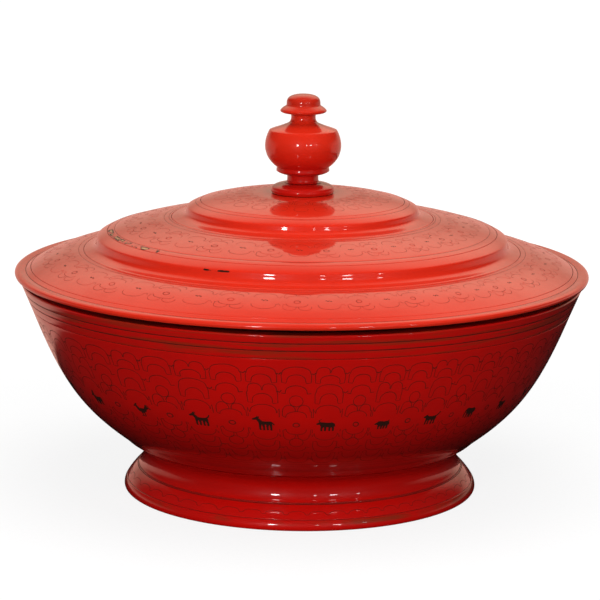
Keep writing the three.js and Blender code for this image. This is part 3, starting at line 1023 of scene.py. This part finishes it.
class VESSEL_OT_lid(bpy.types.Operator):
    """Turns the lid's tiers, hoops and locating ring"""
    bl_idname = "vessel.lid"
    bl_label = "Lid"

    def execute(self, context):
        for node in ("lid_rim_hoop", "lid_lower_tier", "lid_middle_hoop", "lid_middle_tier", "lid_top_hoop",
                     "lid_top_tier"):
            grooves = [(share, 2.2 * width, 0.3 * width) for share, width in LID_LINES.get(node, ())]
            rounding = ((0, 1, 1.8 * MM),) if node in ("lid_middle_hoop", "lid_top_hoop") else ()
            shape = self.upright if node == "lid_top_hoop" else None
            turned(node, "lid", lit_faded_lacquer(), inward=True, grooves=grooves,
                   rounding=rounding, shape=shape)
        turned("lid_flange_ring", "lid", lit_faded_lacquer())
        return {"FINISHED"}

    def upright(self, points):
        """The top hoop's section with the head of its outer face moved out, so that it catches the lamps."""
        low, high = min(p.y for p in points), max(p.y for p in points)
        share = lambda p: (p.y - low) / (high - low)
        return [p + Vector((0.45 * MM, 0)) if 0.55 < share(p) < 0.7 else p for p in points]


class VESSEL_OT_finial(bpy.types.Operator):
    """Turns the finial and the disc under it"""
    bl_idname = "vessel.finial"
    bl_label = "Finial"

    def execute(self, context):
        turned("finial_base_disc", "lid", lit_faded_lacquer(), inward=True, shape=self.dome)
        bulb, edges = (0.34, 0.66, 9 * MM), (0.3, 1, 1.2 * MM)
        turned("finial", "lid", lit_faded_lacquer(), rounding=(bulb, edges))
        return {"FINISHED"}

    def dome(self, points):
        """A domed section inside the disc's own, from its foot up and back down round the tenon."""
        widest, inner = max(p.x for p in points), min(p.x for p in points)
        low, high = min(p.y for p in points), max(p.y for p in points)
        outer = [Vector((widest * across, low + (high - low) * up)) for across, up in DISC_DOME]
        return outer + [Vector((inner, high)), Vector((inner, low))]


# The disc's dome: shares of the frame disc's radius and height
DISC_DOME = ((0.74, 0), (0.77, 0.28), (0.75, 0.54), (0.674, 0.77), (0.56, 0.93), (0.457, 1))
# Turned lines, as shares of the way up a piece, or inward over a tier with the line's width
RIM_LINES = (0.339, 0.653)
WALL_LINES = (0.115, 0.14)
LID_LINES = {
    "lid_rim_hoop": ((0.71, 0.5 * MM),),
    "lid_lower_tier": ((0.915, 0.25 * MM),),
    "lid_middle_tier": ((0.111, 0.3 * MM), (0.895, 0.25 * MM), (0.972, 0.3 * MM)),
    "lid_top_hoop": ((0.844, 0.25 * MM),),
}
# The wall's rows of motifs, from the foot up: shares of its height
WALL_ROWS = (0.155, 0.262, 0.361, 0.664, 0.82, 0.95)


def wall_column(run, columns, line, radius, figure=None, swapped=False):
    """One column of the wall: five cells from the foot up, with a figure or the eye in the middle."""
    inlay = Inlay()
    levels = [run.reach(share) for share in WALL_ROWS]
    cells = []
    for i, (low, high) in enumerate(zip(levels, levels[1:])):
        true_radius = run.radius((low + high) / 2)
        width = TURN * true_radius / columns
        cells.append(Cell(inlay, low, high, width, radius / true_radius, line, flip=i < 2))
    if figure:
        under, over = (twin, hood) if swapped else (hood, twin)
        over(cells[4])
        under(cells[3])
        cartouche(cells[2])
        animal(cells[2], figure)
        hood(cells[1])
    else:
        hood(cells[4])
        crest(cells[3])
        eye(cells[2])
        crest(cells[1])
    hood(cells[0])
    return inlay


class VESSEL_OT_wall_incising(bpy.types.Operator):
    """Incises the five rows of motifs round the bowl"""
    bl_idname = "vessel.wall_incising"
    bl_label = "Wall Incising"

    def execute(self, context):
        hand = context.scene.vessel_incising
        run = RUNS["bowl_wall"]
        levels = [run.reach(share) for share in WALL_ROWS]
        radius = run.radius((levels[0] + levels[-1]) / 2)
        motifs = [wall_column(run, hand.columns, hand.line, radius)]
        for i, figure in enumerate(FIGURES):
            motifs.append(wall_column(run, hand.columns, hand.line, radius, figure, swapped=i % 3 == 1))
        from_middle = [i - hand.columns // 2 for i in range(hand.columns)]
        kinds = [1 + i // 2 % len(FIGURES) if i % 2 else 0 for i in from_middle]
        incised_band("wall_incising", "bowl", run, motifs, kinds, hand.front, radius,
                     strong_pigment())
        return {"FINISHED"}


class VESSEL_OT_foot_incising(bpy.types.Operator):
    """Incises the row of small arches round the foot"""
    bl_idname = "vessel.foot_incising"
    bl_label = "Foot Incising"

    def execute(self, context):
        hand = context.scene.vessel_incising
        run = RUNS["foot_flare"]
        low, high = run.reach(0.3), run.reach(0.57)
        radius = run.radius((low + high) / 2)
        inlay = Inlay()
        cell = Cell(inlay, low, high, TURN * radius / hand.columns, 1.0, hand.line)
        cell.arch(0.4, 0.2, 0.95, thick=0.7)
        cell.line([(0.4, 0.2), (0.46, 0.05), (0.54, 0.05), (0.6, 0.2)], thick=0.7)
        incised_band("foot_incising", "bowl", run, [inlay], [0] * hand.columns, hand.front,
                     radius, strong_pigment())
        return {"FINISHED"}


class VESSEL_OT_lid_incising(bpy.types.Operator):
    """Incises the bands of the lid's three tiers"""
    bl_idname = "vessel.lid_incising"
    bl_label = "Lid Incising"

    def execute(self, context):
        hand = context.scene.vessel_incising
        self.tier_band(hand, "lid_lower_tier", 0.2, 0.82, hand.columns)
        self.tier_band(hand, "lid_middle_tier", 0.24, 0.8, hand.columns * 3 // 4)
        run = RUNS["lid_top_tier"]
        low, high = run.reach(0.28), run.reach(0.86)
        middle = (low + high) / 2
        columns = hand.columns // 2
        inlay = Inlay()
        radius = run.radius(middle)
        for bottom, top, draw in ((low, middle, crest), (middle, high, hood)):
            true_radius = run.radius((bottom + top) / 2)
            width = TURN * true_radius / columns
            draw(Cell(inlay, bottom, top, width, radius / true_radius, hand.line * 0.7))
        incised_band("top_tier_incising", "lid", run, [inlay], [0] * columns, hand.front,
                     radius, faint_pigment())
        return {"FINISHED"}

    def tier_band(self, hand, node, share_low, share_high, columns):
        """A tier's band: worn figures and eyes by turns."""
        run = RUNS[node]
        low, high = run.reach(share_low), run.reach(share_high)
        radius = run.radius((low + high) / 2)
        motifs = [Inlay(), Inlay()]
        for inlay, draw in zip(motifs, (eye, dots)):
            draw(Cell(inlay, low, high, TURN * radius / columns, 1.0, hand.line * 0.7))
        kinds = [i % 2 for i in range(columns)]
        name = node.replace("lid_", "") + "_incising"
        incised_band(name, "lid", run, motifs, kinds, hand.front, radius, faint_pigment())


class VESSEL_OT_turned_lines(bpy.types.Operator):
    """Fills the turned lines and the seams with pigment"""
    bl_idname = "vessel.turned_lines"
    bl_label = "Turned Lines"

    def execute(self, context):
        bowl = [(RUNS["bowl_rim_band"], share, 0.8 * MM) for share in RIM_LINES]
        bowl += [(RUNS["bowl_wall"], share, 0.3 * MM) for share in WALL_LINES]
        bowl += [(RUNS["foot_flare"], 0.965, 0.6 * MM), (RUNS["foot_collar"], 0.015, 0.5 * MM)]
        turned_lines("bowl_turned_lines", "bowl", bowl, strong_pigment())
        lid = [(RUNS[node], share, width) for node, lines in LID_LINES.items() for share, width in lines]
        turned_lines("lid_turned_lines", "lid", lid, strong_pigment())
        seams = {
            "bowl": (("foot_base_hoop", "foot_flare", 0.4 * MM), ("foot_flare", "foot_collar", 0.8 * MM),
                     ("bowl_wall", "bowl_rim_band", 0.5 * MM)),
            "lid": (("lid_rim_hoop", "lid_lower_tier", 0.3 * MM),
                    ("lid_lower_tier", "lid_middle_hoop", 0.4 * MM),
                    ("lid_middle_hoop", "lid_middle_tier", 0.7 * MM),
                    ("lid_top_hoop", "lid_top_tier", 0.3 * MM)),
        }
        for body, places in seams.items():
            lines = [(RUNS[low], RUNS[high], width) for low, high, width in places]
            seam_lines(body + "_seam_lines", body, lines, strong_pigment())
        return {"FINISHED"}


# The camera's sensor, in millimetres
SENSOR_WIDTH = 36
# How bright the floor shows close to the foot, where 1 is the white of the surround
NEAR_GLOW = 0.86
# What the gloss sees overhead, and far behind the vessel with its level and the radius where the floor's
# painted glow begins
CEILING_TONE = (1, 0.82, 0.6)
FAR_TONE = (1, 0.49, 0.39)
FAR_LEVEL = 0.75
LIT_FLOOR = 0.355
# The soft lamps: place, height of the point they face, size in metres and watts
SOFT_LAMPS = {
    "overhead_softbox": ((0.1, -0.3, 1.9), 0.1, 1.5, 25),
    "front_fill": ((-0.7, -2.1, 0.6), 0.1, 1.0, 22),
    "front_fill_right": ((1.3, -2.0, 0.8), 0.12, 1.2, 12),
}
# The small lamps that the gloss mirrors: turn from the camera's side in degrees, size and watts
SMALL_LAMPS = ((-17, 0.2, 4), (11, 0.08, 0.4), (24, 0.18, 1.4), (42, 0.09, 0.35))
SMALL_LAMPS_AWAY = 1.85
SMALL_LAMPS_UP = 0.65


class VESSEL_OT_studio(bpy.types.Operator):
    """Sets the camera, the floor, the lamps and the white surround"""
    bl_idname = "vessel.studio"
    bl_label = "Studio"

    def execute(self, context):
        studio = context.scene.vessel_studio
        self.camera(context, studio)
        self.floor()
        self.surround(context)
        for name, (place, aim, size, power) in SOFT_LAMPS.items():
            self.lamp(name, place, aim, size, power, glossy=False)
        for i, (turn, size, power) in enumerate(SMALL_LAMPS):
            angle = math.radians(turn)
            place = (SMALL_LAMPS_AWAY * math.sin(angle), -SMALL_LAMPS_AWAY * math.cos(angle), SMALL_LAMPS_UP)
            self.lamp("small_lamp_%d" % i, place, 0.15, size, power, glossy=True)
        return {"FINISHED"}

    def camera(self, context, studio):
        data = bpy.data.cameras.new("camera")
        data.lens = studio.lens
        data.sensor_width = SENSOR_WIDTH
        camera = bpy.data.objects.new("camera", data)
        context.scene.collection.objects.link(camera)
        aim = Vector((studio.aside, 0, studio.aim))
        back = Vector((0, -math.cos(studio.elevation), math.sin(studio.elevation)))
        turn = Matrix.Rotation(math.pi / 2 - studio.elevation, 4, "X") @ Matrix.Rotation(studio.roll, 4, "Z")
        camera.matrix_world = Matrix.Translation(aim + back * studio.distance) @ turn
        context.scene.camera = camera

    def floor(self):
        """A pale floor, white to the camera outside the shadow; for the gloss it glows behind the vessel, a
        painted reflection of a lit floor.
        """
        size = 6
        mesh = bpy.data.meshes.new("floor")
        corners = [(-size, -size, 0), (size, -size, 0), (size, size, 0), (-size, size, 0)]
        mesh.from_pydata([Vector(c) for c in corners], [], [(0, 1, 2, 3)])
        finish = Finish("pale_floor", 0.6, specular=0)
        path = add_node(finish.tree, "ShaderNodeLightPath").socket.node.outputs
        seen, glossy = Flow(path["Is Camera Ray"]), Flow(path["Is Glossy Ray"])
        grain = finish.noise(300).between(0.3, 0.7)
        paper = mix_colour(grain, grey(0.15), grey(0.13))
        bounce = mix_colour(glossy, grey(0.12), grey(0.01))
        finish.set(base_color=mix_colour(seen, bounce, paper))
        finish.shader.inputs["Emission Strength"].default_value = 1
        glow = seen * (NEAR_GLOW + finish.radius.smooth(0.25, 1.0) * (1 - NEAR_GLOW))
        # Painted reflection: for the gloss only, the floor glows beyond a radius behind the vessel, though
        # it is no lamp; nearer it stays dark as painted shadow, reaching further out to the right.
        painted_shade_right = finish.x.smooth(0, 0.2) * 0.35
        lit = (finish.radius - painted_shade_right).smooth(LIT_FLOOR, LIT_FLOOR + 0.03) * finish.y.smooth(0, 0.15)
        mirrored = (1.0 - seen) * glossy * lit * FAR_LEVEL
        tone = mix_colour(seen, FAR_TONE, grey(1))
        finish.set(emission_color=mix_colour(glow + mirrored, grey(0), tone))
        mesh.materials.append(finish.material)
        link("floor", mesh)

    def surround(self, context):
        """White to the camera; the gloss sees a warm wall and a pale ceiling behind the vessel."""
        world = bpy.data.worlds.new("surround")
        world.use_nodes = True
        context.scene.world = world
        tree = world.node_tree
        background = tree.nodes["Background"]
        path = add_node(tree, "ShaderNodeLightPath")
        camera_ray, _, _, glossy_ray = (Flow(s) for s in list(path.socket.node.outputs)[:4])
        direction = add_node(tree, "ShaderNodeTexCoord", None, None, output=0)
        split_direction = add_node(tree, "ShaderNodeSeparateXYZ", None, {0: direction})
        side, depth, up = (Flow(s) for s in split_direction.socket.node.outputs)
        behind = depth.smooth(-0.3, 0.4)
        far = 1.0 - up.smooth(0, 0.25)
        ceiling = (up.smooth(0, 0.2) * 0.25 + up.smooth(0.12, 0.55) * 0.6) * (1.0 - up.smooth(0.78, 1.04))
        ahead = 1.0 - side.math("ABSOLUTE", side).smooth(0.5, 0.75)
        mirror = behind * (far * FAR_LEVEL + ceiling * ahead * (1.0 + side * 0.3) * 1.1) + 0.004
        ambient = 0.3
        strength = camera_ray + (1.0 - camera_ray) * (glossy_ray * mirror + (1.0 - glossy_ray) * ambient)
        Flow.feed(background.inputs["Strength"], strength)
        tone = mix_colour(far, CEILING_TONE, FAR_TONE)
        Flow.feed(background.inputs["Color"], mix_colour(glossy_ray, grey(1), tone))

    def lamp(self, name, place, aim, size, power, glossy):
        """A round lamp that faces a point on the axis."""
        data = bpy.data.lights.new(name, "AREA")
        data.shape = "DISK"
        data.size = size
        data.energy = power
        lamp = bpy.data.objects.new(name, data)
        bpy.context.scene.collection.objects.link(lamp)
        lamp.location = place
        lamp.rotation_euler = (Vector((0, 0, aim)) - lamp.location).to_track_quat("-Z", "Y").to_euler()
        lamp.visible_glossy = glossy


class VESSEL_PT_panel(bpy.types.Panel):
    """Lists the vessel's steps in the sidebar"""
    bl_idname = "VESSEL_PT_panel"
    bl_label = "Offering Vessel"
    bl_space_type = "VIEW_3D"
    bl_region_type = "UI"
    bl_category = "Vessel"

    def draw(self, context):
        for name in ("vessel_colours", "vessel_turning", "vessel_incising", "vessel_studio"):
            group = getattr(context.scene, name)
            for prop in group.__annotations__:
                self.layout.prop(group, prop)
        for step in STEPS:
            self.layout.operator(step.bl_idname)


GROUPS = {
    "vessel_colours": VesselColours,
    "vessel_turning": VesselTurning,
    "vessel_incising": VesselIncising,
    "vessel_studio": VesselStudio,
}
STEPS = (VESSEL_OT_studio, VESSEL_OT_foot, VESSEL_OT_bowl, VESSEL_OT_lid, VESSEL_OT_finial,
         VESSEL_OT_wall_incising, VESSEL_OT_foot_incising, VESSEL_OT_lid_incising, VESSEL_OT_turned_lines)


def register():
    for name, group in GROUPS.items():
        bpy.utils.register_class(group)
        setattr(bpy.types.Scene, name, PointerProperty(type=group))
    for step in STEPS:
        bpy.utils.register_class(step)
    bpy.utils.register_class(VESSEL_PT_panel)


def unregister():
    bpy.utils.unregister_class(VESSEL_PT_panel)
    for step in reversed(STEPS):
        bpy.utils.unregister_class(step)
    for name, group in reversed(GROUPS.items()):
        delattr(bpy.types.Scene, name)
        bpy.utils.unregister_class(group)


def main():
    register()
    for step in STEPS:
        family, name = step.bl_idname.split(".")
        getattr(getattr(bpy.ops, family), name)()
    bpy.context.scene.view_settings.view_transform = "Standard"
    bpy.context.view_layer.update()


if __name__ == "__main__":
    main()
